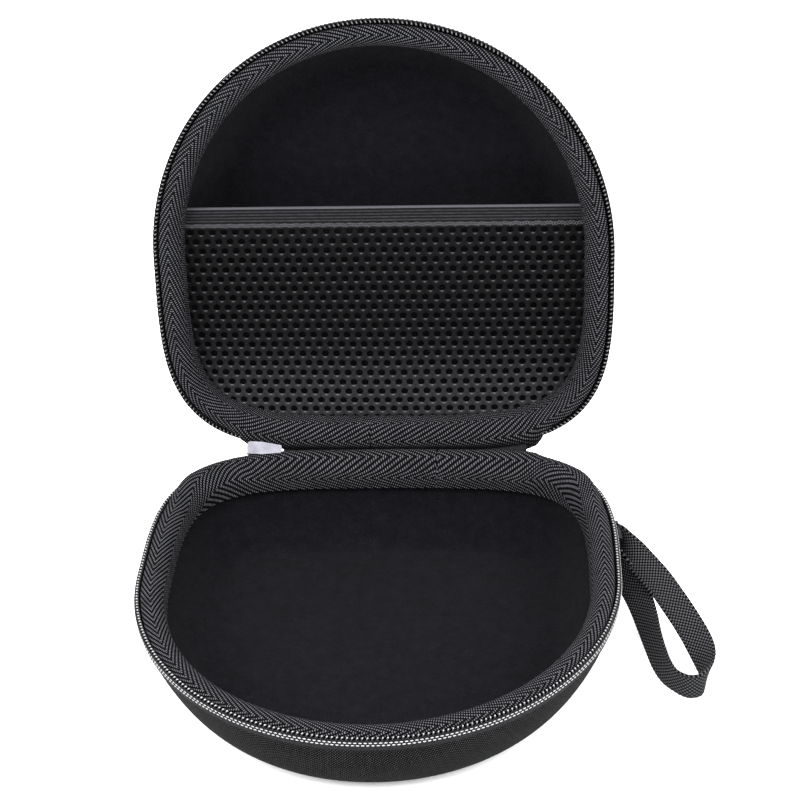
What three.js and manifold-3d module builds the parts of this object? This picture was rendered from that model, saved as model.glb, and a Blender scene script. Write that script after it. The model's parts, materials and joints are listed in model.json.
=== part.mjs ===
// Headphone carrying case: two moulded clam shells joined by a fabric hinge and a coil zip.
// Millimetres, +Z up, X across the case, front towards -Y, origin at the middle of the flat underside.
// The case stands open: the lid is turned back on its hinge and the slider waits at the left end.

import * as THREE from "three";
import { mergeVertices } from "three/addons/utils/BufferGeometryUtils.js";
import Module from "manifold-3d";

const wasm = await Module();
wasm.setup();

// Driving dimensions
const HALF_WIDTH = 100;
const CASE_DEPTH = 194; // hinge line to front edge
const WIDEST = 90.6; // hinge line to the widest place
const FRONT_POWER = 2.02; // 2 is an ellipse
const BACK_POWER = 3.82; // a flat back with round corners
const SHELL_DEPTH = 42; // rim plane to the flat floor of either shell
const FLOOR_INSET = 28; // outline to the edge of the flat floor
const LID_OPEN = THREE.MathUtils.degToRad(100.4);
const STATIONS = 48; // cross-sections round a full rim
const GAP = 0.3; // clearance between pieces that touch

// Layers of a shell wall, measured inwards from its outer surface
const FABRIC = 0.9;
const CORE_OUTER = FABRIC + GAP;
const CORE_INNER = 4.6;
const LINING_OUTER = CORE_INNER + GAP;
const LINING_INNER = LINING_OUTER + 1.2;
const WALL_STEPS = 6;
const WALL_TOP = 4.7; // depth of the outer fabric's upper edge
const WALL_TOP_INSET = 0.8;

// Rim pieces
const COIL_THICK = 1.7;
const COIL_TOP = 0.3;
const COIL_BOTTOM = 4.2;
const TAPE_TOP = 0.8;
const TAPE_THICK = 0.6;
const BINDING_THICK = 0.8;

// Fabric hinge, zip chain and slider: where they lie across the case
const HINGE_LEFT = -46;
const HINGE_RIGHT = 58.5;
const CHAIN_LEFT = -64.5;
const CHAIN_RIGHT = 64.5;
const SLIDER_X = -55.5;
const SLIDER_LENGTH = 15.4;
const SLIDER_MOUTH = 5.8;
const SLIDER_TAIL = 3.8;
const PLATE_THICK = 1.2;
const SLIDER_OUT = 1.4; // how far its outer plate stands outside the outline
const SLIDER_THICK = 4.2;
const PULL_LENGTH = 22;
const PULL_WIDTH = 6.8;
const PULL_THICK = 1.5;
const PULL_HANG = THREE.MathUtils.degToRad(14);

// Pocket in the lid
const POCKET_TOP = 110; // hinge line to the elastic's upper edge
const ELASTIC_HEIGHT = 6.8;
const HEM_HEIGHT = 2.6;
const POCKET_INSET = 10.5;
const POCKET_DEPTH = 12.2; // below the rim plane
const MESH_THICK = 0.8;

// Wrist strap
const STRAP_WIDTH = 12;
const STRAP_THICK = 1.2;
const STRAP_STEPS = 44;

// Materials
function paint(color, roughness, metalness) {
  return () => new THREE.MeshStandardMaterial({ color, roughness, metalness });
}
const shellFabric = paint(0x1c1c1e, 0.85, 0);
const foam = paint(0x141415, 0.95, 0);
const fleece = paint(0x17181b, 1, 0);
const twill = paint(0x2a2a30, 0.8, 0);
const zipCloth = paint(0x18181a, 0.85, 0);
const nylon = paint(0x36363d, 0.35, 0);
const netting = paint(0x242428, 0.8, 0);
const elasticCloth = paint(0x2c2c30, 0.8, 0);
const webbing = paint(0x232327, 0.85, 0);
const nickel = paint(0xc9c8d6, 0.25, 0.9);

// Outline of the rim: x across, v from the hinge line towards the front
function superellipse(angle) {
  const c = Math.cos(angle);
  const s = Math.sin(angle);
  const front = s > 0;
  const power = 2 / (front ? FRONT_POWER : BACK_POWER);
  const reach = front ? CASE_DEPTH - WIDEST : WIDEST;
  const x = HALF_WIDTH * Math.sign(c) * Math.abs(c) ** power;
  const v = WIDEST + reach * Math.sign(s) * Math.abs(s) ** power;
  return new THREE.Vector2(x, v);
}

const FINE = 4800;
const finePoints = [];
const fineLengths = [0];
for (let k = 0; k <= FINE; k += 1) {
  finePoints.push(superellipse(-Math.PI / 2 + (2 * Math.PI * k) / FINE));
  if (k > 0) {
    fineLengths.push(fineLengths[k - 1] + finePoints[k].distanceTo(finePoints[k - 1]));
  }
}
const PERIMETER = fineLengths[FINE];

// Point on the outline at a distance along it from the hinge's middle, and the normal into the case
function station(distance) {
  const s = THREE.MathUtils.euclideanModulo(distance, PERIMETER);
  let k = fineLengths.findIndex((length) => length > s);
  k = k < 1 ? FINE : k;
  const share = (s - fineLengths[k - 1]) / (fineLengths[k] - fineLengths[k - 1]);
  const point = finePoints[k - 1].clone().lerp(finePoints[k], share);
  const before = finePoints[(k - 12 + FINE) % FINE];
  const after = finePoints[(k + 11) % FINE];
  const along = after.clone().sub(before).normalize();
  return { point, normal: new THREE.Vector2(-along.y, along.x) };
}

// Distance along the outline at which its back stretch reaches x
function distanceAtX(x) {
  const side = Math.sign(x);
  let low = 0;
  let high = PERIMETER / 4;
  for (let k = 0; k < 40; k += 1) {
    const middle = (low + high) / 2;
    if (Math.abs(station(side * middle).point.x) < Math.abs(x)) {
      low = middle;
    } else {
      high = middle;
    }
  }
  return side * low;
}

const RIM_STEP = PERIMETER / STATIONS;

function fullRim() {
  return Array.from({ length: STATIONS }, (_, k) => station(k * RIM_STEP));
}

// A cross-section between two of the full rim's, on the flat facet that joins them
function facetStation(distance) {
  const before = Math.floor(distance / RIM_STEP);
  const share = distance / RIM_STEP - before;
  const from = station(before * RIM_STEP);
  const to = station((before + 1) * RIM_STEP);
  return { point: from.point.lerp(to.point, share), normal: from.normal.lerp(to.normal, share) };
}

// The stretch of rim from one distance to another, on the same cross-sections as the full rim
function partRim(from, to) {
  const nearest = 0.2; // of a step, from an end to the first cross-section
  const stops = [from];
  for (let k = Math.ceil(from / RIM_STEP + nearest); k < to / RIM_STEP - nearest; k += 1) {
    stops.push(k * RIM_STEP);
  }
  stops.push(to);
  return stops.map(facetStation);
}

// Meshes from rings of points
function meshGeometry(positions, faces) {
  const geometry = new THREE.BufferGeometry();
  geometry.setAttribute("position", new THREE.Float32BufferAttribute(positions.flat(), 3));
  geometry.setIndex(faces.flat());
  return outward(geometry);
}

function outward(geometry) {
  const p = geometry.attributes.position;
  const index = geometry.index;
  const corner = [0, 1, 2].map(() => new THREE.Vector3());
  let volume = 0;
  for (let k = 0; k < index.count; k += 3) {
    corner.forEach((v, j) => v.fromBufferAttribute(p, index.getX(k + j)));
    volume += corner[0].dot(corner[1].clone().cross(corner[2]));
  }
  if (volume < 0) index.array.reverse();
  geometry.computeVertexNormals();
  return geometry;
}

function ringFaces(rings, size, closedPath, closedSection) {
  const faces = [];
  const last = closedPath ? rings : rings - 1;
  const columns = closedSection ? size : size - 1;
  for (let r = 0; r < last; r += 1) {
    const next = (r + 1) % rings;
    for (let c = 0; c < columns; c += 1) {
      const side = (c + 1) % size;
      faces.push([r * size + c, r * size + side, next * size + side]);
      faces.push([r * size + c, next * size + side, next * size + c]);
    }
  }
  return faces;
}

// A point of a cross-section: inset from the outline and depth from the rim plane.
// way is -1 in the base, whose depth runs down, and +1 in the closed lid.
function place(at, [inset, depth], way) {
  const { point, normal } = at;
  return [point.x + normal.x * inset, -(point.y + normal.y * inset), way * depth];
}

// A closed cross-section carried round the whole rim
function rimRing(section, way) {
  const rim = fullRim();
  const positions = rim.flatMap((at) => section.map((point) => place(at, point, way)));
  return meshGeometry(positions, ringFaces(rim.length, section.length, true, true));
}

// Triangles that close the two ends of a sweep. The section's second half mirrors its first half.
function endCaps(size, rings) {
  const faces = [];
  const shift = (rings - 1) * size;
  for (let k = 0; k < size / 2 - 1; k += 1) {
    const [a, b, c, d] = [k, k + 1, size - 2 - k, size - 1 - k];
    faces.push([c, b, a], [d, c, a]);
    faces.push([a + shift, b + shift, c + shift], [a + shift, c + shift, d + shift]);
  }
  return faces;
}

function sweep(rings) {
  const size = rings[0].length;
  const faces = [...ringFaces(rings.length, size, false, true), ...endCaps(size, rings.length)];
  return meshGeometry(rings.flat(), faces);
}

// The same cross-section carried along part of the rim, with flat ends
function rimBand(section, way, from, to) {
  return sweep(partRim(from, to).map((at) => section.map((point) => place(at, point, way))));
}

// A bowl: the profile starts and ends on a flat floor, whose middle closes it
function bowl(profile, way) {
  const rim = fullRim();
  const size = profile.length;
  const positions = rim.flatMap((at) => profile.map((point) => place(at, point, way)));
  const faces = ringFaces(rim.length, size, true, false);
  const middle = -CASE_DEPTH / 2;
  const outerMiddle = positions.length;
  positions.push([0, middle, way * profile[0][1]]);
  positions.push([0, middle, way * profile[size - 1][1]]);
  rim.forEach((_, r) => {
    const next = (r + 1) % rim.length;
    faces.push([r * size, next * size, outerMiddle]);
    faces.push([next * size + size - 1, r * size + size - 1, outerMiddle + 1]);
  });
  return meshGeometry(positions, faces);
}

// Wall of a shell, from its upper edge to the floor
const wallCurve = new THREE.CubicBezierCurve(
  new THREE.Vector2(WALL_TOP_INSET, WALL_TOP),
  new THREE.Vector2(4.5, 19),
  new THREE.Vector2(14.5, SHELL_DEPTH),
  new THREE.Vector2(FLOOR_INSET, SHELL_DEPTH),
);

function wallPoint(share, offset) {
  const at = wallCurve.getPoint(share);
  const along = wallCurve.getTangent(share);
  return [at.x + along.y * offset, at.y - along.x * offset];
}

function wall(offset, from = 0) {
  const shares = Array.from({ length: WALL_STEPS + 1 }, (_, k) => k / WALL_STEPS);
  return shares.filter((share) => share >= from).map((share) => wallPoint(share, offset));
}

const CORE_TOP_SHARE = 2 / WALL_STEPS; // below the tucked-in zip tape
const LINING_TOP_SHARE = 1.5 / WALL_STEPS;

function outerFabric(way) {
  return bowl([...wall(0).reverse(), ...wall(FABRIC)], way);
}

// Binding tape, rolled over the rim into the shell: its outer face, and faces parallel to it
const bindingCurve = new THREE.SplineCurve(
  [[3.5, 3.4], [4.1, 1.2], [6, 0.45], [8.8, 0.9], [11.3, 3.2], [12.6, 7.2], [12.7, 11.4]].map(
    ([inset, depth]) => new THREE.Vector2(inset, depth),
  ),
);

function bindingSide(offset) {
  return [0, 0.12, 0.24, 0.38, 0.52, 0.68, 0.84, 1].map((share) => {
    const at = bindingCurve.getPoint(share);
    const along = bindingCurve.getTangent(share);
    return [at.x - along.y * offset, at.y + along.x * offset];
  });
}

// The foam core swells into a soft roll under the binding
function core(way) {
  const tuck = CORE_OUTER + TAPE_THICK + 2 * GAP;
  const outer = wall(CORE_OUTER, CORE_TOP_SHARE).reverse();
  const stepIn = [wallPoint(1 / WALL_STEPS, tuck), wallPoint(0, tuck)];
  const roll = bindingSide(BINDING_THICK + GAP);
  const inner = [wallPoint(LINING_TOP_SHARE - 0.05, CORE_INNER), ...wall(CORE_INNER, CORE_TOP_SHARE)];
  return bowl([...outer, ...stepIn, ...roll, ...inner], way);
}

function lining(way) {
  const outer = [wallPoint(LINING_TOP_SHARE, LINING_OUTER), ...wall(LINING_OUTER, CORE_TOP_SHARE)];
  const inner = [wallPoint(LINING_TOP_SHARE, LINING_INNER), ...wall(LINING_INNER, CORE_TOP_SHARE)];
  return bowl([...outer.reverse(), ...inner], way);
}

function bindingTape(way) {
  return rimRing([...bindingSide(0), ...bindingSide(BINDING_THICK).reverse()], way);
}

function zipCoil(way) {
  const section = [[0, 1.2], [0.5, COIL_TOP], [1.2, COIL_TOP], [COIL_THICK, 1.2]];
  section.push([COIL_THICK, 3.3], [1.2, COIL_BOTTOM], [0.5, COIL_BOTTOM], [0, 3.3]);
  return rimBand(section, way, distanceAtX(CHAIN_RIGHT), PERIMETER + distanceAtX(CHAIN_LEFT));
}

// The zip's woven tape stands behind the coil and its lower edge is tucked under the outer fabric
const TUCK = 1 / WALL_STEPS; // share of the wall that the tape reaches down
const TAPE_OUTER = FABRIC + GAP;
const TAPE_INNER = TAPE_OUTER + TAPE_THICK;

function tapeSection() {
  const top = WALL_TOP_INSET + TAPE_OUTER;
  const outer = [[top, TAPE_TOP], wallPoint(0, TAPE_OUTER), wallPoint(TUCK, TAPE_OUTER)];
  const inner = [[top + TAPE_THICK, TAPE_TOP], wallPoint(0, TAPE_INNER), wallPoint(TUCK, TAPE_INNER)];
  return [...outer, ...inner.reverse()];
}

function zipTape(way) {
  const from = distanceAtX(HINGE_RIGHT + 2);
  return rimBand(tapeSection(), way, from, PERIMETER + distanceAtX(CHAIN_LEFT));
}

// Fabric hinge: tucked in like the zip tape at both ends, and wrapped round the hinge line between
function hingeStrip() {
  const rim = partRim(distanceAtX(HINGE_LEFT), distanceAtX(HINGE_RIGHT));
  const turns = 7;
  const sheet = (offset) => (at) => {
    const lean = at.point.y;
    const low = wallPoint(TUCK, offset);
    const high = wallPoint(0, offset);
    const top = [WALL_TOP_INSET + offset, 0];
    const points = [low, high].map(([inset, depth]) => [-(lean + inset), -depth]);
    for (let k = 0; k <= turns; k += 1) {
      points.push(turned([-(lean + top[0]), 0], (LID_OPEN * k) / turns));
    }
    const lidPoints = [high, low].map(([inset, depth]) => turned([-(lean + inset), depth], LID_OPEN));
    return [...points, ...lidPoints].map(([y, z]) => [at.point.x, y, z]);
  };
  const outer = sheet(TAPE_OUTER);
  const inner = sheet(TAPE_INNER);
  return sweep(rim.map((at) => [...outer(at), ...inner(at).reverse()]));
}

// (y, z) turned back about the hinge line by the lid's angle
function turned([y, z], angle) {
  return [y * Math.cos(angle) + z * Math.sin(angle), -y * Math.sin(angle) + z * Math.cos(angle)];
}

// Pieces of the lid's pocket: flat shapes cut to the lid's outline
function pocketEdge(from, to, steps, side) {
  return Array.from({ length: steps + 1 }, (_, k) => {
    const reach = from + ((to - from) * k) / steps;
    return new THREE.Vector2(side * halfWidthAt(reach), -reach);
  });
}

// Half the width of the pocket at a distance from the hinge line
function halfWidthAt(reach) {
  let low = 1;
  let high = PERIMETER / 2 - 1;
  for (let k = 0; k < 40; k += 1) {
    const middle = (low + high) / 2;
    const { point, normal } = station(middle);
    if (point.y + normal.y * POCKET_INSET < reach) {
      low = middle;
    } else {
      high = middle;
    }
  }
  const { point, normal } = station(low);
  return Math.abs(point.x + normal.x * POCKET_INSET);
}

function pocketPiece(from, to, steps, depth, thick) {
  const right = pocketEdge(from, to, steps, 1);
  const left = pocketEdge(to, from, steps, -1);
  const shape = new THREE.Shape([...right, ...left]);
  const geometry = new THREE.ExtrudeGeometry(shape, { depth: thick, bevelEnabled: false });
  return geometry.translate(0, 0, depth);
}

const MESH_TOP = POCKET_TOP - ELASTIC_HEIGHT - HEM_HEIGHT - 2 * GAP;
const MESH_BOTTOM = POCKET_INSET + 0.4;
const HEM_BOTTOM = MESH_TOP + GAP;
const ELASTIC_BOTTOM = HEM_BOTTOM + HEM_HEIGHT + GAP;

// Zip slider, built at the closed rim's plane: two plates on a post, seen along the chain (X)
function plateShape() {
  const half = SLIDER_LENGTH / 2;
  const mouth = SLIDER_MOUTH / 2;
  const tail = SLIDER_TAIL / 2;
  const shape = new THREE.Shape();
  shape.moveTo(-half, -mouth + 1.6);
  shape.quadraticCurveTo(-half, -mouth, -half + 1.8, -mouth);
  shape.lineTo(-1, -mouth);
  shape.lineTo(half - 1, -tail);
  shape.quadraticCurveTo(half, -tail, half, -tail + 1);
  shape.lineTo(half, tail - 1);
  shape.quadraticCurveTo(half, tail, half - 1, tail);
  shape.lineTo(-1, mouth);
  shape.lineTo(-half + 1.8, mouth);
  shape.quadraticCurveTo(-half, mouth, -half, mouth - 1.6);
  return shape;
}

// A shape in the chain's plane, as a slab from one distance outside the outline to another
function slab(shape, inner, outer) {
  const options = { depth: outer - inner, bevelEnabled: false, curveSegments: 4 };
  const geometry = new THREE.ExtrudeGeometry(shape, options);
  return geometry.rotateX(Math.PI / 2).translate(0, outer, 0);
}

function box(lengthX, lengthY, lengthZ, x, y, z) {
  return new THREE.BoxGeometry(lengthX, lengthY, lengthZ).translate(x, y, z);
}

function solid(geometry) {
  const plain = geometry.clone();
  plain.deleteAttribute("normal");
  plain.deleteAttribute("uv");
  const merged = mergeVertices(plain, 1e-4);
  return new wasm.Manifold(
    new wasm.Mesh({
      numProp: 3,
      vertProperties: Float32Array.from(merged.attributes.position.array),
      triVerts: Uint32Array.from(merged.index.array),
    }),
  );
}

function joined(first, ...others) {
  const whole = others.reduce((sum, next) => sum.add(solid(next)), solid(first));
  return fromSolid(whole);
}

function fromSolid(manifold) {
  const mesh = manifold.getMesh();
  const geometry = new THREE.BufferGeometry();
  geometry.setAttribute("position", new THREE.BufferAttribute(mesh.vertProperties, 3));
  geometry.setIndex(new THREE.BufferAttribute(mesh.triVerts, 1));
  geometry.computeVertexNormals();
  return geometry;
}

function sliderBody() {
  const innerFace = SLIDER_OUT - SLIDER_THICK;
  const outerPlate = slab(plateShape(), SLIDER_OUT - PLATE_THICK, SLIDER_OUT);
  const innerPlate = slab(plateShape(), innerFace, innerFace + PLATE_THICK);
  const gap = SLIDER_THICK - PLATE_THICK;
  const post = box(5, gap, 1.8, -SLIDER_LENGTH / 2 + 3.4, SLIDER_OUT - SLIDER_THICK / 2, 0);
  return joined(outerPlate, innerPlate, post);
}

// Crown: a low bridge on the outer plate that holds the pull
const CROWN_HALF = 4;
const CROWN_HEIGHT = 3.8;
const CROWN_BAR = 1.2;
const PIVOT_HEIGHT = 1.55;

function sliderCrown() {
  const shape = new THREE.Shape();
  const foot = SLIDER_OUT + GAP;
  const top = SLIDER_OUT + CROWN_HEIGHT;
  const inner = CROWN_HALF - CROWN_BAR;
  shape.moveTo(-CROWN_HALF, foot);
  shape.lineTo(-CROWN_HALF, top - 1.4);
  shape.quadraticCurveTo(-CROWN_HALF, top, -CROWN_HALF + 1.6, top);
  shape.lineTo(CROWN_HALF - 1.6, top);
  shape.quadraticCurveTo(CROWN_HALF, top, CROWN_HALF, top - 1.4);
  shape.lineTo(CROWN_HALF, foot);
  shape.lineTo(inner, foot);
  shape.lineTo(inner, top - CROWN_BAR);
  shape.lineTo(-inner, top - CROWN_BAR);
  shape.lineTo(-inner, foot);
  const geometry = new THREE.ExtrudeGeometry(shape, { depth: 2, bevelEnabled: false, curveSegments: 4 });
  return geometry.translate(0, 0, -1);
}

// Pull: a tab whose end bar lies under the crown. Its pivot is at its own origin, and it points along +Y
const EYE_LENGTH = 5.3;
const EYE_HALF = 1.9;
const PULL_BAR = 0.65;

function zipPull() {
  const half = PULL_WIDTH / 2;
  const neck = 3.2;
  const end = PULL_LENGTH - PULL_BAR;
  const shape = new THREE.Shape();
  shape.moveTo(-neck, -PULL_BAR);
  shape.lineTo(neck, -PULL_BAR);
  shape.lineTo(neck, EYE_LENGTH + 1);
  shape.lineTo(half, EYE_LENGTH + 4);
  shape.lineTo(half, end - half);
  shape.absarc(0, end - half, half, 0, Math.PI, false);
  shape.lineTo(-half, EYE_LENGTH + 4);
  shape.lineTo(-neck, EYE_LENGTH + 1);
  const eye = new THREE.Path();
  eye.moveTo(-EYE_HALF, PULL_BAR);
  eye.lineTo(-EYE_HALF, EYE_LENGTH);
  eye.lineTo(EYE_HALF, EYE_LENGTH);
  eye.lineTo(EYE_HALF, PULL_BAR);
  shape.holes.push(eye);
  const options = { depth: PULL_THICK, bevelEnabled: false, curveSegments: 6 };
  const geometry = new THREE.ExtrudeGeometry(shape, options);
  return geometry.translate(0, 0, -PULL_THICK / 2).rotateY(Math.PI / 2);
}

// A stitched-down end of the chain, on the outside of the right end
const END_STOP_LENGTH = 4.5;

function zipEndStop() {
  const from = distanceAtX(CHAIN_RIGHT - END_STOP_LENGTH);
  const to = distanceAtX(CHAIN_RIGHT - GAP);
  const [top, bottom] = [COIL_TOP + 1.3, COIL_BOTTOM - 0.1]; // hidden behind the rim from the front
  return rimBand([[0.1, top], [COIL_THICK, top], [COIL_THICK, bottom], [0.1, bottom]], -1, from, to);
}

// Wrist strap: a loop of flat webbing from the right side down to the table and back.
// Each stop is a point and the direction of the webbing's width there.
const strapStops = [
  { at: [102.5, 46.3, 33.2], across: [0, -0.1, 1] },
  { at: [104.7, 38.9, 31.4], across: [0.15, 0.1, 1] },
  { at: [109.5, 32.9, 28], across: [0.7, 0.4, 0.6] },
  { at: [116.3, 24.2, 24.5], across: [0.79, 0.36, 0.49] },
  { at: [121.9, 15.7, 20.5], across: [0.84, 0.33, 0.44] },
  { at: [127.1, 7.9, 16], across: [0.85, 0.3, 0.43] },
  { at: [131.5, -0.1, 11.8], across: [0.8, 0.3, 0.52] },
  { at: [134.1, -8.1, 8.8], across: [0.6, 0.2, 0.77] },
  { at: [134.4, -15.6, 7], across: [0.3, 0.05, 0.95] },
  { at: [131.5, -22.1, 6.4], across: [0, 0, 1] },
  { at: [127, -23.3, 6.3], across: [0, 0, 1] },
  { at: [122.3, -20.7, 6.5], across: [0, 0, 1] },
  { at: [118.2, -15.1, 7.1], across: [0.2, 0.1, 0.97] },
  { at: [115.7, -8.7, 8.2], across: [0.35, 0.15, 0.9] },
  { at: [113.3, 1.2, 10.5], across: [0.45, 0.2, 0.85] },
  { at: [111.4, 11, 12.9], across: [0.6, 0.2, 0.75] },
  { at: [108.9, 21.1, 15], across: [0.7, 0.22, 0.65] },
  { at: [104.2, 30.8, 16.4], across: [0.5, 0.2, 0.84] },
  { at: [100.5, 37, 18], across: [0.1, 0.1, 1] },
  { at: [98.6, 43, 18.8], across: [0, -0.1, 1] },
];

function wristStrap() {
  const path = new THREE.CatmullRomCurve3(strapStops.map(({ at }) => new THREE.Vector3(...at)));
  const lean = new THREE.CatmullRomCurve3(strapStops.map(({ across }) => new THREE.Vector3(...across)));
  const corners = [[-1, -1], [1, -1], [1, 1], [-1, 1]];
  const rings = [];
  for (let k = 0; k <= STRAP_STEPS; k += 1) {
    const share = k / STRAP_STEPS;
    const centre = path.getPoint(share);
    const along = path.getTangent(share);
    const across = lean.getPoint(share).projectOnPlane(along).normalize();
    const face = along.clone().cross(across);
    rings.push(corners.map(([w, t]) => {
      const corner = centre.clone();
      corner.addScaledVector(across, (w * STRAP_WIDTH) / 2);
      corner.addScaledVector(face, (t * STRAP_THICK) / 2);
      return corner.toArray();
    }));
  }
  return sweep(rings);
}

// The strap's two ends, sewn one on the other just below the zip
const ANCHOR_FROM = 47; // hinge line to the anchor's rear edge
const ANCHOR_LENGTH = 12.6;
const ANCHOR_TOP = 5.2;
const ANCHOR_BOTTOM = 12.2;

function strapAnchor() {
  const inner = WALL_TOP_INSET - 0.5;
  const outer = inner - 2 * STRAP_THICK;
  const section = [[outer, ANCHOR_TOP], [outer, ANCHOR_BOTTOM], [inner, ANCHOR_BOTTOM], [inner, ANCHOR_TOP]];
  const side = distanceAtX(HALF_WIDTH - 1);
  const from = side + ANCHOR_FROM - station(side).point.y;
  return rimBand(section, -1, from, from + ANCHOR_LENGTH);
}

// Assembly
const caseGroup = new THREE.Group();
const HINGE = new THREE.Vector3(0, CASE_DEPTH / 2, SHELL_DEPTH);

function add(parent, name, geometry, material) {
  const mesh = new THREE.Mesh(geometry, material());
  mesh.name = name;
  parent.add(mesh);
  return mesh;
}

function hingeGroup(angle) {
  const group = new THREE.Group();
  group.position.copy(HINGE);
  group.rotation.x = -angle;
  caseGroup.add(group);
  return group;
}

const base = hingeGroup(0);
const lid = hingeGroup(LID_OPEN);
for (const [group, name, way] of [[base, "base", -1], [lid, "lid", 1]]) {
  add(group, `${name}_outer_fabric`, outerFabric(way), shellFabric);
  add(group, `${name}_foam_core`, core(way), foam);
  add(group, `${name}_lining`, lining(way), fleece);
  add(group, `${name}_binding_tape`, bindingTape(way), twill);
  add(group, `${name}_zip_tape`, zipTape(way), zipCloth);
  add(group, `${name}_zip_coil`, zipCoil(way), nylon);
}
add(base, "hinge_strip", hingeStrip(), zipCloth);
add(base, "zip_end_stop", zipEndStop(), nickel);

const meshDepth = POCKET_DEPTH + 0.2;
add(lid, "pocket_mesh", pocketPiece(MESH_BOTTOM, MESH_TOP, 12, meshDepth, MESH_THICK), netting);
add(lid, "pocket_hem", pocketPiece(HEM_BOTTOM, HEM_BOTTOM + HEM_HEIGHT, 1, meshDepth, MESH_THICK), netting);
add(lid, "pocket_elastic", pocketPiece(ELASTIC_BOTTOM, POCKET_TOP, 2, POCKET_DEPTH, 1.2), elasticCloth);

// The slider sits where both coils meet the hinge, and shares the lid's angle between them
const sliderAt = station(PERIMETER + distanceAtX(SLIDER_X));
const sliderTurn = hingeGroup(LID_OPEN / 2);
const slider = new THREE.Group();
slider.position.set(sliderAt.point.x, -sliderAt.point.y, 0);
slider.rotation.z = Math.atan2(sliderAt.normal.x, sliderAt.normal.y);
sliderTurn.add(slider);
add(slider, "slider_body", sliderBody(), nickel);
add(slider, "slider_crown", sliderCrown(), nickel);
const pull = add(slider, "zip_pull", zipPull(), nickel);
pull.position.y = SLIDER_OUT + PIVOT_HEIGHT;
pull.rotation.z = -PULL_HANG;

add(base, "strap_anchor", strapAnchor(), webbing);
add(caseGroup, "wrist_strap", wristStrap(), webbing);

export default caseGroup;
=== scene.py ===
"""Looks of the headphone carrying case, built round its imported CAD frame.

Shapes are worked out in millimetres in the CAD's own terms and turned into metres when a mesh is made.
A rim place is a distance along the outline from the middle of the hinge, an inset from the outline and
a depth from the rim's plane. The base's depth runs down, and the lid is turned back on its hinge.
"""

import json
import math

import bmesh
import bpy
import numpy as np
from mathutils import Matrix


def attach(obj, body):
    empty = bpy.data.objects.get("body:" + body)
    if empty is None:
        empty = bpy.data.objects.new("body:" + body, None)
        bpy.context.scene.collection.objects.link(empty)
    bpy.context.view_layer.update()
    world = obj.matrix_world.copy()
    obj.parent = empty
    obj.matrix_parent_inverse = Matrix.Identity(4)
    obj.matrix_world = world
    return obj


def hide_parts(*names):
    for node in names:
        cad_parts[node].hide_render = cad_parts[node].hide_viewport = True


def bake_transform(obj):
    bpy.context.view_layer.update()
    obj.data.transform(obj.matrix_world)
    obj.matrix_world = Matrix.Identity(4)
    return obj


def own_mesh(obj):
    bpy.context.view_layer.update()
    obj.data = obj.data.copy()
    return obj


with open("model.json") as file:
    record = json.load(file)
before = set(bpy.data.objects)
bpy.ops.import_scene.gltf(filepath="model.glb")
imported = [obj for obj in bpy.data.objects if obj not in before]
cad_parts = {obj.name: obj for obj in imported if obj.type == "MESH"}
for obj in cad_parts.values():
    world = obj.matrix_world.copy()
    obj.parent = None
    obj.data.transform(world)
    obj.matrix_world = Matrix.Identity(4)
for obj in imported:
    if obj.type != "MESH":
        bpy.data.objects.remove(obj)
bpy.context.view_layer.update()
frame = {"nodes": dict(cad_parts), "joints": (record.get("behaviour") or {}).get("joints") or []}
MM = 0.001
SHADE = 0.72  # how far every grey is darkened to suit the strong light

# Driving dimensions, as in the CAD
HALF_WIDTH = 100
CASE_DEPTH = 194
WIDEST = 90.6
FRONT_POWER = 2.02
BACK_POWER = 3.82
SHELL_DEPTH = 42
FLOOR_INSET = 28
HINGE_LEFT = -46
HINGE_RIGHT = 58.5
CHAIN_LEFT = -64.5
CHAIN_RIGHT = 64.5
STRAP_WIDTH = 12
STRAP_THICK = 1.2
POCKET_INSET = 10.5
POCKET_DEPTH = 12.4
ANCHOR_FROM = 47
ANCHOR_LENGTH = 12.6

hinge = next(joint for joint in frame["joints"] if joint["name"] == "lid_hinge")
HINGE = np.array(hinge["pos_m"]) / MM
LID_OPEN = math.radians(-hinge["range_deg"][0])


# ---------------------------------------------------------------- outline and places on it


def outline_table(count=24000):
    angle = np.linspace(-math.pi / 2, 1.5 * math.pi, count + 1)
    c, s = np.cos(angle), np.sin(angle)
    front = s > 0
    power = 2 / np.where(front, FRONT_POWER, BACK_POWER)
    reach = np.where(front, CASE_DEPTH - WIDEST, WIDEST)
    x = HALF_WIDTH * np.sign(c) * np.abs(c) ** power
    v = WIDEST + reach * np.sign(s) * np.abs(s) ** power
    length = np.concatenate([[0], np.cumsum(np.hypot(np.diff(x), np.diff(v)))])
    return x, v, length


OUTLINE_X, OUTLINE_V, OUTLINE_LENGTH = outline_table()
PERIMETER = OUTLINE_LENGTH[-1]
QUARTER = len(OUTLINE_X) // 4


def distance_at_x(x):
    """Distance along the outline at which its back stretch reaches x."""
    found = np.interp(np.abs(x), OUTLINE_X[:QUARTER], OUTLINE_LENGTH[:QUARTER])
    return np.sign(x) * found


def outline_point(distance):
    s = np.mod(distance, PERIMETER)
    x = np.interp(s, OUTLINE_LENGTH, OUTLINE_X)
    v = np.interp(s, OUTLINE_LENGTH, OUTLINE_V)
    return np.stack([x, v], -1)


def rim(distance):
    """Points of the outline, and the normals into the case."""
    step = 1.2
    along = outline_point(distance + step) - outline_point(distance - step)
    along /= np.linalg.norm(along, axis=-1, keepdims=True)
    normal = np.stack([-along[..., 1], along[..., 0]], -1)
    return outline_point(distance), normal


def to_frame(points, half):
    """From closed-case coordinates about the hinge line to the frame, in millimetres."""
    x, y, z = points[..., 0], points[..., 1], points[..., 2]
    if half == "lid":
        c, s = math.cos(LID_OPEN), math.sin(LID_OPEN)
        y, z = y * c + z * s, z * c - y * s
    return HINGE + np.stack([x, y, z], -1)


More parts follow.
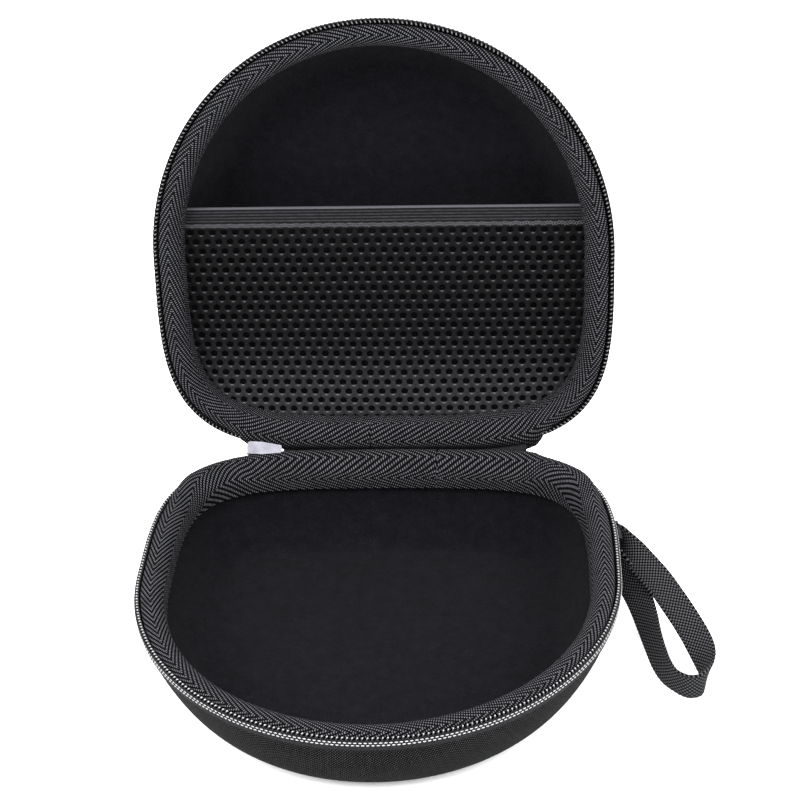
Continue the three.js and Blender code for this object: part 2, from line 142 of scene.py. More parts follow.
def place(distance, inset, depth, half):
    distance, inset, depth = np.broadcast_arrays(distance, inset, depth)
    point, normal = rim(distance)
    plan = point + normal * inset[..., None]
    way = 1 if half == "lid" else -1
    return to_frame(np.stack([plan[..., 0], -plan[..., 1], way * depth], -1), half)


def smooth(x, low, high):
    t = np.clip((x - low) / (high - low), 0, 1)
    return t * t * (3 - 2 * t)


def ripple(s, seed, reach=1.0):
    """Slow, irregular waves along the rim, which close on themselves."""
    total = 0 * s
    for k, turns in enumerate((7, 11, 18, 29, 46)):
        total = total + np.cos(2 * math.pi * turns * s / PERIMETER + seed * (k + 1.7) * 2.3) / (k + 1.6)
    return reach * total / 1.9


def catmull(stops, shares):
    """Centripetal Catmull-Rom curve through the stops, at shares from 0 to 1 of its spans."""
    stops = np.array(stops, float)
    first, last = 2 * stops[0] - stops[1], 2 * stops[-1] - stops[-2]
    p = np.vstack([first, stops, last])
    at = np.clip(np.asarray(shares, float), 0, 1) * (len(stops) - 1)
    k = np.minimum(at.astype(int), len(stops) - 2)
    t = (at - k)[:, None]
    a, b, c, d = p[k], p[k + 1], p[k + 2], p[k + 3]
    gaps = [np.sqrt(np.linalg.norm(q - r, axis=1, keepdims=True)) for q, r in ((b, a), (c, b), (d, c))]
    g0, g1, g2 = (np.maximum(g, 1e-4) for g in gaps)
    m1 = ((b - a) / g0 - (c - a) / (g0 + g1) + (c - b) / g1) * g1
    m2 = ((c - b) / g1 - (d - b) / (g1 + g2) + (d - c) / g2) * g1
    t2, t3 = t * t, t * t * t
    return (2 * t3 - 3 * t2 + 1) * b + (t3 - 2 * t2 + t) * m1 + (3 * t2 - 2 * t3) * c + (t3 - t2) * m2


def lengths(points):
    return np.concatenate([[0], np.cumsum(np.linalg.norm(np.diff(points, axis=0), axis=1))])


# ---------------------------------------------------------------- meshes


class Shape:
    """Collects grids of quads, with cloth coordinates in millimetres, and makes one object of them."""

    def __init__(self):
        self.points, self.faces, self.uvs, self.values, self.count = [], [], [], [], 0

    def grid(self, points, uv=None, rows=False, cols=False, value=None, caps=False):
        """A stack of grids (k, n, m, 3). rows and cols say which way each closes on itself."""
        if points.ndim == 3:
            points = points[None]
            uv = None if uv is None else uv[None]
            value = None if value is None else value[None]
        k, n, m = points.shape[:3]
        r = np.arange(n if rows else n - 1)
        c = np.arange(m if cols else m - 1)
        r, c = (a.ravel() for a in np.meshgrid(r, c, indexing="ij"))
        corners = [(r, c), (r, c + 1), (r + 1, c + 1), (r + 1, c)]
        quads = np.stack([(a % n) * m + b % m for a, b in corners], -1)
        starts = self.count + n * m * np.arange(k)[:, None, None]
        self.faces.extend((quads[None] + starts).reshape(-1, 4).tolist())
        if uv is None:
            uv = np.zeros((k, n + rows, m + cols, 2))
        flat = np.stack([a * (m + cols) + b for a, b in corners], -1)
        self.uvs.append(uv.reshape(k, -1, 2)[:, flat].reshape(-1, 2))
        self.points.append(points.reshape(-1, 3))
        value = 0.0 if value is None else value
        self.values.append(np.broadcast_to(value, (k, n, m)).ravel())
        if caps:
            for shift in (0, (n - 1) * m):
                for start in starts.ravel():
                    self.faces.append((start + shift + np.arange(m)).tolist())
                    self.uvs.append(np.zeros((m, 2)))
        self.count += k * n * m
        return self

    def fan(self, ring, centre, uv_ring, uv_centre):
        """Triangles from a ring of existing vertices to a new one."""
        self.points.append(np.array(centre, float).reshape(1, 3))
        self.values.append(np.zeros(1))
        n = len(ring)
        for k in range(n):
            self.faces.append([int(ring[k]), int(ring[(k + 1) % n]), self.count])
            self.uvs.append(np.array([uv_ring[k], uv_ring[(k + 1) % n], uv_centre]))
        self.count += 1
        return self

    def make(self, name, look, sharp=None):
        mesh = bpy.data.meshes.new(name)
        mesh.from_pydata((np.concatenate(self.points) * MM).tolist(), [], self.faces)
        cloth = mesh.uv_layers.new(name="cloth")
        cloth.data.foreach_set("uv", np.concatenate(self.uvs).astype("f").ravel())
        tone = mesh.attributes.new("tone", "FLOAT", "POINT")
        tone.data.foreach_set("value", np.concatenate(self.values).astype("f"))
        mesh.materials.append(look)
        mesh.validate()
        tidy = bmesh.new()
        tidy.from_mesh(mesh)
        bmesh.ops.recalc_face_normals(tidy, faces=tidy.faces)
        tidy.to_mesh(mesh)
        tidy.free()
        mesh.shade_smooth()
        if sharp:
            mesh.set_sharp_from_angle(angle=math.radians(sharp))
        piece = bpy.data.objects.new(name, mesh)
        bpy.context.scene.collection.objects.link(piece)
        return piece


def settle(piece, body, slot, *nodes):
    """Puts a finished piece on its body and hides the CAD parts it stands for."""
    if body:
        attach(piece, body)
    if nodes:
        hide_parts(*nodes)
    return piece


# ---------------------------------------------------------------- materials


class Look:
    """A node material on one Principled shader."""

    def __init__(self, name, **sockets):
        self.material = bpy.data.materials.new(name)
        self.material.use_nodes = True
        self.tree = self.material.node_tree
        self.shader = self.tree.nodes["Principled BSDF"]
        for socket, value in sockets.items():
            self.put(self.shader.inputs[socket.replace("_", " ")], value)

    def put(self, socket, value):
        if isinstance(value, bpy.types.NodeSocket):
            self.tree.links.new(value, socket)
        elif socket.type == "RGBA":
            socket.default_value = (*value, 1) if hasattr(value, "__len__") else (value, value, value, 1)
        else:
            socket.default_value = value

    def node(self, kind, inputs=(), **settings):
        node = self.tree.nodes.new("ShaderNode" + kind)
        for key, value in settings.items():
            setattr(node, key, value)
        for key, value in dict(inputs).items():
            self.put(node.inputs[key], value)
        return node

    def math(self, operation, *values, clamp=False):
        return self.node("Math", enumerate(values), operation=operation, use_clamp=clamp).outputs[0]

    def add(self, a, b):
        return self.math("ADD", a, b)

    def times(self, a, b):
        return self.math("MULTIPLY", a, b)

    def wave(self, value, period, shift=0.0):
        return self.math("COSINE", self.math("MULTIPLY_ADD", value, 2 * math.pi / period, shift))

    def fit(self, value, low, high, to_low=0.0, to_high=1.0):
        inputs = {0: value, 1: low, 2: high, 3: to_low, 4: to_high}
        return self.node("MapRange", inputs).outputs[0]

    def cloth(self):
        pin = self.node("UVMap", uv_map="cloth")
        split = self.node("SeparateXYZ", {0: pin.outputs[0]})
        return split.outputs[0], split.outputs[1]

    def tone(self):
        return self.node("Attribute", attribute_name="tone").outputs["Fac"]

    def noise(self, size, detail=2.0, roughness=0.5):
        """Noise whose features are about size millimetres across."""
        where = self.node("TexCoord").outputs["Object"]
        inputs = {"Vector": where, "Scale": 1 / (size * MM), "Detail": detail, "Roughness": roughness}
        return self.node("TexNoise", inputs).outputs["Fac"]

    def mix(self, share, low, high):
        inputs = {0: share, 6: low, 7: high}
        return self.node("Mix", inputs, data_type="RGBA").outputs[2]

    def colour(self, value):
        self.put(self.shader.inputs["Base Color"], value)

    def rough(self, value):
        self.put(self.shader.inputs["Roughness"], value)

    def bump(self, height, depth, strength=1.0):
        inputs = {"Height": height, "Distance": depth * MM, "Strength": strength}
        self.put(self.shader.inputs["Normal"], self.node("Bump", inputs).outputs[0])


def grey(level, blue=1.06):
    level *= SHADE
    return (level, level, level * blue)


def ballistic_look():
    """Black woven polyester: staggered yarn ends with a painted highlight on their tops, smoother in a
    band along its upper edge.
    """
    look = Look("outer_fabric", Sheen_Weight=0.005, Sheen_Roughness=0.4, Specular_IOR_Level=0.02)
    warp, weft, filament = 1.5, 1.9, 0.34
    u, v = look.cloth()
    yarn = look.times(look.wave(u, warp), look.wave(v, weft))
    fine = look.times(look.wave(u, filament), 0.12)
    # Painted highlight: the tops of the yarn ends are made lighter than the black cloth.
    height = look.fit(look.add(yarn, fine), 0.32, 0.78)
    plain = look.fit(look.tone(), 0.0, 1.0, 1.0, 0.3)
    worn = look.fit(look.noise(9.0, 3.0), 0.3, 0.75, 0.65, 1.15)
    grain = look.fit(look.noise(0.5, 2.0), 0.3, 0.7, 0.6, 1.35)
    share = look.times(look.times(height, plain), look.times(worn, grain))
    share = look.add(share, look.fit(look.tone(), 0.0, 1.0, 0.0, 0.2))
    look.colour(look.mix(share, grey(0.0006), grey(0.058)))
    look.rough(look.fit(height, 0.0, 1.0, 0.85, 0.6))
    look.bump(look.add(look.times(height, plain), look.times(grain, 0.25)), 0.3)
    return look.material


def herringbone_look():
    """Binding tape: rows of light dots on the slant, which meet in chevrons, with painted shade darkening
    them into the crease at the hinge.
    """
    look = Look("binding", Sheen_Weight=0.005, Sheen_Roughness=0.4, Specular_IOR_Level=0.025)
    arm, slant, edge = 6.6, 2.45, 6.0
    row_period, dot_period = 3.83, 1.08
    u, v = look.cloth()
    across = look.math("PINGPONG", look.add(v, 4 * arm - edge), arm)
    line = look.wave(look.math("MULTIPLY_ADD", across, -slant, u), row_period)
    dots = look.wave(look.math("MULTIPLY_ADD", across, 1 / slant, u), dot_period)
    ridge = look.fit(line, -0.35, 0.5)
    height = look.times(ridge, look.fit(dots, -0.4, 0.6, 0.0, 1.15))
    worn = look.fit(look.noise(7.0, 3.0), 0.3, 0.75, 0.7, 1.15)
    grain = look.fit(look.noise(0.5, 2.0), 0.32, 0.68, 0.5, 1.45)
    # Painted shade in the crease at the hinge, carried in by the tone attribute.
    crease_shade = look.fit(look.tone(), 0.0, 1.0, 1.0, 0.1)
    share = look.times(look.times(height, look.times(worn, grain)), crease_shade)
    look.colour(look.mix(share, grey(0.0016, 1.15), grey(0.12, 1.12)))
    look.rough(look.fit(height, 0.0, 1.0, 0.9, 0.55))
    look.bump(height, 0.35)
    return look.material


def fleece_look():
    """Black brushed fleece in low tufts."""
    look = Look("lining", Roughness=1.0, Sheen_Weight=0.01, Specular_IOR_Level=0.02)
    fibres = look.noise(0.7, 4.0, 0.7)
    tufts = look.noise(4.5, 3.0, 0.6)
    share = look.times(look.fit(fibres, 0.25, 0.75), look.fit(tufts, 0.25, 0.75, 0.5, 1.2))
    look.colour(look.mix(share, grey(0.0018, 1.25), grey(0.0095, 1.3)))
    look.bump(look.add(fibres, look.times(tufts, 0.8)), 0.7)
    return look.material


def netting_look():
    """Knitted strands, lighter where their edges catch the light."""
    look = Look("netting", Sheen_Weight=0.005, Specular_IOR_Level=0.025)
    strands = look.noise(0.35, 2.0)
    share = look.times(look.fit(look.tone(), 0.0, 1.0, 0.0, 1.0), look.fit(strands, 0.3, 0.7, 0.6, 1.3))
    look.colour(look.mix(share, grey(0.001), grey(0.107, 1.1)))
    look.rough(look.fit(strands, 0.3, 0.7, 0.75, 0.5))
    look.bump(strands, 0.15)
    return look.material


def elastic_look():
    """Ribbed knitted elastic."""
    look = Look("elastic", Sheen_Weight=0.01, Specular_IOR_Level=0.05)
    stitch, course = 0.9, 0.7
    u, v = look.cloth()
    knit = look.times(look.wave(u, stitch), look.wave(v, course))
    height = look.fit(knit, -0.6, 0.9)
    uneven = look.fit(look.noise(1.6, 3.0), 0.3, 0.7, 0.55, 1.35)
    share = look.times(look.times(look.fit(height, 0.0, 1.0, 0.6, 1.2), look.tone()), uneven)
    look.colour(look.mix(share, grey(0.004), grey(0.07, 1.12)))
    look.rough(look.fit(height, 0.0, 1.0, 0.9, 0.6))
    look.bump(height, 0.12)
    return look.material


def webbing_look():
    """Strap webbing: raised yarns with dark gaps."""
    look = Look("webbing", Sheen_Weight=0.01, Sheen_Roughness=0.4, Specular_IOR_Level=0.04)
    threads = look.noise(0.3, 2.0)
    share = look.times(look.fit(look.tone(), 0.5, 0.9, 0.0, 1.0), look.fit(threads, 0.3, 0.7, 0.6, 1.3))
    look.colour(look.mix(share, grey(0.001), grey(0.07, 1.08)))
    look.rough(look.fit(look.tone(), 0.0, 1.0, 0.9, 0.6))
    look.bump(threads, 0.15)
    return look.material


def tape_look():
    """The zip's woven tape: fine cross ribs."""
    look = Look("zip_tape", Sheen_Weight=0.01, Specular_IOR_Level=0.04)
    rib, thread = 0.62, 1.1
    u, v = look.cloth()
    ribs = look.times(look.wave(u, rib), look.wave(v, thread))
    height = look.fit(ribs, -0.7, 0.9)
    uneven = look.fit(look.noise(1.4, 3.0), 0.3, 0.7, 0.5, 1.3)
    look.colour(look.mix(look.times(height, uneven), grey(0.003), grey(0.021, 1.1)))
    look.rough(look.fit(height, 0.0, 1.0, 0.85, 0.6))
    look.bump(height, 0.15)
    return look.material


def nylon_look():
    """Coil filament: dark, with a painted highlight on the heads."""
    look = Look("zip_coil", Specular_IOR_Level=0.45, Coat_Weight=0.2, Coat_Roughness=0.2)
    scuffs = look.noise(1.2, 3.0)
    shank = look.mix(look.fit(scuffs, 0.3, 0.7), grey(0.003, 1.1), grey(0.01, 1.15))
    # Painted highlight: the heads' pale grey stands in for the glint of the light on the dark nylon.
    head = look.mix(look.fit(scuffs, 0.3, 0.7), grey(0.4, 1.05), grey(0.62, 1.04))
    look.colour(look.mix(look.tone(), shank, head))
    look.rough(look.fit(scuffs, 0.3, 0.7, 0.3, 0.45))
    look.bump(scuffs, 0.04)
    return look.material


def glinting_thread_look():
    """Black sewing thread painted pale grey as a painted reflection of the light on its gloss."""
    look = Look("sewing_thread", Specular_IOR_Level=0.3, Sheen_Weight=0.02)
    twist = look.noise(0.25, 2.0)
    look.colour(look.mix(look.fit(twist, 0.3, 0.7), grey(0.2, 1.05), grey(0.6, 1.02)))
    look.rough(look.fit(twist, 0.3, 0.7, 0.35, 0.6))
    look.bump(twist, 0.1)
    return look.material


def dark_thread_look():
    """Black sewing thread."""
    look = Look("dark_thread", Specular_IOR_Level=0.15)
    twist = look.noise(0.25, 2.0)
    look.colour(look.mix(look.fit(twist, 0.3, 0.7), grey(0.006, 1.05), grey(0.03, 1.02)))
    look.rough(look.fit(twist, 0.3, 0.7, 0.45, 0.7))
    look.bump(twist, 0.1)
    return look.material


def nickel_look():
    """Satin nickel plate."""
    look = Look("metal", Metallic=1.0)
    brushed = look.noise(2.5, 1.0)
    wear = look.noise(6.0, 2.0)
    look.colour(look.mix(look.fit(wear, 0.3, 0.7), (0.18, 0.178, 0.206), (0.23, 0.227, 0.263)))
    look.rough(look.fit(brushed, 0.3, 0.7, 0.28, 0.36))
    return look.material


def foam_look():
    """Moulded foam, seen only where nothing covers it."""
    look = Look("foam", Roughness=0.95, Specular_IOR_Level=0.1)
    cells = look.noise(0.8, 3.0)
    look.colour(look.mix(look.fit(cells, 0.3, 0.7), grey(0.006), grey(0.016)))
    look.bump(cells, 0.3)
    return look.material


FABRIC_LOOK = ballistic_look()
BINDING_LOOK = herringbone_look()
FLEECE_LOOK = fleece_look()
NETTING_LOOK = netting_look()
ELASTIC_LOOK = elastic_look()
WEBBING_LOOK = webbing_look()
TAPE_LOOK = tape_look()
NYLON_LOOK = nylon_look()
GLINTING_THREAD_LOOK = glinting_thread_look()
DARK_THREAD_LOOK = dark_thread_look()
NICKEL_LOOK = nickel_look()
FOAM_LOOK = foam_look()


# ---------------------------------------------------------------- camera, floor and light


CAMERA_ANGLES = (3.75, 31.9, -2.31)  # azimuth, elevation and roll, in degrees
CAMERA_TARGET = (3.35, 139.98, 42.0)
CAMERA_DISTANCE = 1002
SENSOR_WIDTH = 36
FOCAL_LENGTH = SENSOR_WIDTH * 2.7025
WORLD_STRENGTH = 2.45
LAMPS = {  # place, aim, size and watts
    "key": ((-0.9, -1.0, 1.6), (0, 0.05, 0.08), (1.1, 1.1), 52),
    "fill": ((1.3, -0.7, 1.2), (0, 0.05, 0.08), (0.9, 0.9), 30),
    "top": ((0.1, 0.5, 1.9), (0, 0.05, 0.05), (1.4, 1.0), 30),
}
FLOOR_REACH = 6


def make_camera():
    azimuth, elevation, roll = (math.radians(a) for a in CAMERA_ANGLES)
    target, distance = np.array(CAMERA_TARGET) * MM, CAMERA_DISTANCE * MM
    ca, sa, ce, se = math.cos(azimuth), math.sin(azimuth), math.cos(elevation), math.sin(elevation)
    back = np.array([sa * ce, -ca * ce, se])
    right = np.array([ca, sa, 0])
    up = np.cross(back, right)
    x = right * math.cos(roll) + up * math.sin(roll)
    y = up * math.cos(roll) - right * math.sin(roll)
    data = bpy.data.cameras.new("camera")
    data.sensor_width = SENSOR_WIDTH
    data.lens = FOCAL_LENGTH
    data.clip_end = 20
    camera = bpy.data.objects.new("camera", data)
    bpy.context.scene.collection.objects.link(camera)
    rows = np.column_stack([x, y, back, target + distance * back])
    camera.matrix_world = Matrix([*rows.tolist(), [0, 0, 0, 1]])
    bpy.context.scene.camera = camera


def make_floor():
    mesh = bpy.data.meshes.new("floor")
    corners = [(x * FLOOR_REACH, y * FLOOR_REACH, 0) for x, y in ((-1, -1), (1, -1), (1, 1), (-1, 1))]
    mesh.from_pydata(corners, [], [(0, 1, 2, 3)])
    look = Look("floor", Roughness=0.9, Specular_IOR_Level=0.1)
    look.colour(look.mix(look.noise(400.0), (0.9, 0.9, 0.9), (0.93, 0.93, 0.93)))
    mesh.materials.append(look.material)
    floor = bpy.data.objects.new("floor", mesh)
    bpy.context.scene.collection.objects.link(floor)


def make_light(name, place_at, aim, size, power):
    data = bpy.data.lights.new(name, "AREA")
    data.shape = "RECTANGLE"
    data.size, data.size_y = size
    data.energy = power
    lamp = bpy.data.objects.new(name, data)
    bpy.context.scene.collection.objects.link(lamp)
    back = np.array(place_at, float) - np.array(aim, float)
    back /= np.linalg.norm(back)
    right = np.cross([0, 0, 1], back)
    right /= np.linalg.norm(right)
    rows = np.column_stack([right, np.cross(back, right), back, place_at])
    lamp.matrix_world = Matrix([*rows.tolist(), [0, 0, 0, 1]])


def make_studio():
    scene = bpy.context.scene
    scene.view_settings.view_transform = "Standard"
    world = bpy.data.worlds.new("studio")
    world.use_nodes = True
    backdrop = world.node_tree.nodes["Background"]
    backdrop.inputs[0].default_value = (1, 1, 1, 1)
    backdrop.inputs[1].default_value = WORLD_STRENGTH
    scene.world = world
    for name, settings in LAMPS.items():
        make_light(name, *settings)


make_camera()
make_floor()
make_studio()


# ---------------------------------------------------------------- wrist strap

STRAP_WEAVE = 1.7
STRAP_STATIONS = 760
STRAP_STOPS = [  # points of the strap's middle line, and the way its width lies there
    ((98.9, 47.8, 30.8), (0, -0.1, 1)),
    ((101.6, 45.6, 31.8), (0.05, -0.1, 1)),
    ((104.7, 39.4, 30.6), (0.4, 0.2, 0.88)),
    ((109.5, 32.9, 28), (0.7, 0.4, 0.6)),
    ((116.3, 24.2, 24.5), (0.79, 0.36, 0.49)),
    ((121.9, 15.7, 20.5), (0.84, 0.33, 0.44)),
    ((127.1, 7.9, 16), (0.85, 0.3, 0.43)),
    ((131.5, -0.1, 11.8), (0.8, 0.3, 0.52)),
    ((134.1, -8.1, 8.8), (0.6, 0.2, 0.77)),
    ((134.4, -15.6, 7), (0.3, 0.05, 0.95)),
    ((131.5, -22.1, 6.4), (0, 0, 1)),
    ((127, -23.3, 6.3), (0, 0, 1)),
    ((122.3, -20.7, 6.5), (0, 0, 1)),
    ((118.2, -15.1, 7.1), (0.2, 0.1, 0.97)),
    ((115.7, -8.7, 8.2), (0.35, 0.15, 0.9)),
    ((113.3, 1.2, 10.5), (0.45, 0.2, 0.85)),
    ((111.4, 11, 12.9), (0.6, 0.2, 0.75)),
    ((108.9, 21.1, 15.6), (0.7, 0.22, 0.65)),
    ((104.2, 30.8, 19.6), (0.45, 0.2, 0.86)),
    ((101, 37, 25), (0.1, 0.05, 1)),
    ((99.6, 42.5, 28.2), (0, -0.1, 1)),
    ((98.2, 46.5, 29.5), (0, -0.1, 1)),
]


def unit(vectors):
    return vectors / np.linalg.norm(vectors, axis=-1, keepdims=True)


def basket(u, v, pitch):
    """Height and lightness of a basket weave: yarns going over and under in turn, on the diagonal."""
    a, b = (u + v) / pitch, (u - v) / pitch
    over = (np.floor(a) + np.floor(b)) % 2
    across = np.where(over > 0, a % 1, b % 1)
    along = np.where(over > 0, b % 1, a % 1)
    round_ = np.sqrt(np.clip(np.sin(math.pi * across), 0, 1))
    arch = np.clip(np.sin(math.pi * along), 0, 1) ** 0.6
    return round_ * arch


def webbing_ribbon(name, path, lean, width, thick, pitch):
    """A flat woven strap along a path, with rounded selvedges and raised yarns."""
    along = unit(np.gradient(path, axis=0))
    across = unit(lean - along * (lean * along).sum(1, keepdims=True))
    face = np.cross(along, across)
    run = lengths(path)
    w = np.linspace(-1, 1, 61)
    body = (1 - np.abs(w) ** 6) ** 0.5 * 0.86 + 0.14
    shape = Shape()
    sides = []
    for side in (1, -1):
        u, v = run[:, None], (w * width / 2)[None]
        yarn = basket(u, v, pitch)
        edge = smooth(np.abs(v), width / 2 - 1.1, width / 2 - 0.7)
        edge_yarn = 0.5 + 0.5 * np.cos(2 * math.pi * u / (pitch * 1.1))
        yarn = yarn * (1 - edge) + edge_yarn * edge
        height = thick / 2 * body[None] + 0.3 * (yarn - 0.5)
        points = path[:, None] + across[:, None] * v[..., None] + side * face[:, None] * height[..., None]
        sides.append((points, yarn))
    points = np.concatenate([sides[0][0], sides[1][0][:, ::-1]], 1)
    tone = np.concatenate([sides[0][1], sides[1][1][:, ::-1]], 1)
    shape.grid(points, cols=True, value=tone, caps=True)
    return shape.make(name, WEBBING_LOOK)


def make_strap():
    share = np.linspace(0, 1, STRAP_STATIONS)
    path = catmull([stop for stop, _ in STRAP_STOPS], share)
    lean = catmull([across for _, across in STRAP_STOPS], share)
    run = lengths(path)
    even = np.linspace(0, run[-1], STRAP_STATIONS)
    path, lean = (np.stack([np.interp(even, run, a[:, k]) for k in range(3)], -1) for a in (path, lean))
    strap = webbing_ribbon("strap_webbing", path, lean, STRAP_WIDTH, STRAP_THICK, STRAP_WEAVE)
    settle(strap, "base", "webbing", "wrist_strap")
    centre = path[::19] * MM
    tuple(centre[0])


make_strap()


# ---------------------------------------------------------------- stitches


def stitches(shape, half, distance, inset, depth, length, width, proud):
    """Short rounded threads lying on a surface of the rim, one at each distance."""
    along = np.array([-1, -0.72, 0, 0.72, 1])
    swell = np.array([0.2, 0.8, 1, 0.8, 0.2])
    turn = np.linspace(0, 2 * math.pi, 6, endpoint=False)
    a = along[None, :, None] * length / 2
    b = swell[None, :, None] * np.cos(turn)[None, None] * proud
    c = swell[None, :, None] * np.sin(turn)[None, None] * width / 2
    s = distance[:, None, None] + a + 0 * b
    where = place(s, inset - b, depth + c, half)
    return shape.grid(where, cols=True, caps=True)


# ---------------------------------------------------------------- shells


WALL_ENDS = np.array([(0.8, 4.7), (4.5, 19), (14.5, SHELL_DEPTH), (FLOOR_INSET, SHELL_DEPTH)])


def wall_point(share, offset):
    """(inset, depth) on the wall of a shell, offset inwards from its outer surface."""
    a, b, c, d = WALL_ENDS
    t = np.asarray(share, float)[..., None]
    at = (1 - t) ** 3 * a + 3 * t * (1 - t) ** 2 * b + 3 * t * t * (1 - t) * c + t**3 * d
    slope = unit((1 - t) ** 2 * (b - a) + 2 * t * (1 - t) * (c - b) + t * t * (d - c))
    return np.stack([at[..., 0] + slope[..., 1] * offset, at[..., 1] - slope[..., 0] * offset], -1)


FLOOR_RINGS = np.array([0.12, 0.3, 0.48, 0.64, 0.78, 0.9])
FABRIC_THICK = 0.9
LINING_FACES = (5.0, 6.1)


def bowl_side(distance, shares, offset, half, bulge=None):
    """Points (n, m, 3) and cloth coordinates of one face of a shell, from the floor's middle outwards."""
    section = wall_point(shares, offset)
    run = lengths(section)
    inset, depth = section[:, 0][None], section[:, 1][None]
    if bulge is not None:
        depth = depth + bulge(distance[:, None], shares[None])
        inset = inset + bulge(distance[:, None], shares[None]) * 0.4
    walls = place(distance[:, None], inset, depth, half)
    point, normal = rim(distance)
    spread = point[:, None] + normal[:, None] * (FLOOR_INSET - run[None, :, None])
    middle = to_frame(np.array([0, -CASE_DEPTH / 2, (1 if half == "lid" else -1) * section[0, 1]]), half)
    share = FLOOR_RINGS[None, :, None]
    floor = middle + (walls[:, :1] - middle) * share
    plan_middle = np.array([0, CASE_DEPTH / 2])
    floor_plan = plan_middle + (spread[:, :1] - plan_middle) * share
    return np.concatenate([floor, walls], 1), np.concatenate([floor_plan, spread], 1), middle


def bowl(name, half, look, shares, outer, inner, stations, tone=None, bulge=None):
    """A shell: two parallel faces joined at the edge, each closed by a fan at the middle of its floor."""
    distance = np.linspace(0, PERIMETER, stations, endpoint=False)
    shape = Shape()
    faces = [bowl_side(distance, shares, offset, half, bulge) for offset in (outer, inner)]
    points = np.concatenate([faces[0][0], faces[1][0][:, ::-1]], 1)
    uv = np.concatenate([faces[0][1], faces[1][1][:, ::-1]], 1)
    columns = points.shape[1]
    value = None
    if tone is not None:
        one = np.concatenate([0 * FLOOR_RINGS, tone(shares)])
        value = np.broadcast_to(np.concatenate([one, one[::-1]])[None], (stations, columns))
    shape.grid(points, np.concatenate([uv, uv[:1]], 0), rows=True, value=value)
    ring = np.arange(stations) * columns
    for shift, face in ((0, faces[0]), (columns - 1, faces[1])):
        shape.fan(ring + shift, face[2], uv[:, shift], np.array([0, CASE_DEPTH / 2]))
    return shape.make(name, look, sharp=50)


def make_fabric(half):
    shares = np.linspace(1, 0, 34)

    def band(shares):
        return 1 - smooth(shares, 0.04, 0.075)

    shell = bowl(f"{half}_shell_fabric", half, FABRIC_LOOK, shares, 0, FABRIC_THICK, 420, tone=band)
    settle(shell, half, "outer_fabric", f"{half}_outer_fabric")


def make_lining(half):
    shares = np.linspace(1, 0.2, 26)

    def uneven(distance, shares):
        waves = ripple(distance, 2.0 if half == "lid" else 5.0, 0.35)
        return waves * np.sin(math.pi * np.clip((1 - shares) / 0.8, 0, 1))

    shell = bowl(f"{half}_fleece", half, FLEECE_LOOK, shares, *LINING_FACES, 240, bulge=uneven)
    settle(shell, half, "lining", f"{half}_lining")


# ---------------------------------------------------------------- rim pieces

# Cross-sections of the binding as (inset, depth), from the zip over the roll into the cavity:
# most of the rim, the higher roll along the base's back, and the tapes pressed together at the hinge
BINDING_STOPS = [(2.7, 3.2), (2.9, 1.3), (5.4, 0.35), (8.6, 0.75), (11.3, 3.1), (12.6, 7.2), (12.7, 11.4)]
RIDGE_STOPS = [(1.0, 2.6), (0.55, 0.2), (1.3, -1.7), (3.6, -2.2), (7.2, -0.8), (11.7, 4.2), (12.7, 11.4)]
HINGE_STOPS = {
    "base": [(-0.1, 0.6), (0.5, -1.1), (2.4, -2.1), (6.3, -1.2), (11.4, 3.4), (12.6, 7.5), (12.7, 11.4)],
    "lid": [(0.0, 1.2), (0.9, 0.9), (3.0, 0.35), (6.6, 0.55), (11.2, 3.1), (12.6, 7.2), (12.7, 11.4)],
}


def side_of(stops, shares, offset):
    """A curve through the stops, moved sideways to the inside of the roll."""
    at = catmull(stops, shares)
    along = unit(np.gradient(at, axis=0))
    return np.stack([at[:, 0] - along[:, 1] * offset, at[:, 1] + along[:, 0] * offset], -1)


def rim_section(name, half, look, slot, node, distance, sections, closed, run, tone=None):
    """A closed cross-section, given for every distance, carried along the rim."""
    points = place(distance[:, None], sections[..., 0], sections[..., 1], half)
    run = np.broadcast_to(run, sections.shape[:2])
    run = np.concatenate([run, run[:, :1]], 1)
    stations = distance
    if closed:
        run = np.concatenate([run, run[:1]])
        stations = np.append(distance, distance[0] + PERIMETER)
    uv = np.stack(np.broadcast_arrays(stations[:, None], run), -1)
    shape = Shape()
    shape.grid(points, uv, rows=closed, cols=True, caps=not closed, value=tone)
    piece = shape.make(name, look, sharp=60)
    return settle(piece, half, slot, node)


HINGE_FADE_X = [-74, -68, -63, -48, -44, 61, 65, 70, 75]
HINGE_FADE = [0, 0.25, 0.6, 0.83, 1, 1, 0.8, 0.25, 0]


def near_hinge(distance):
    """1 along the hinge, fading to 0 past the zip's start on the right and the slider on the left."""
    x, v = outline_point(distance).T
    return np.where(v < WIDEST, np.interp(x, HINGE_FADE_X, HINGE_FADE), 0)


def near_back(distance):
    """1 along the back and round its corners."""
    return 1 - smooth(outline_point(distance)[:, 1], 18, 42)


ROLL_STEPS = 26
TAPE_THICK = 0.8
SEAM_X = {"lid": -8.0, "base": 22.0}


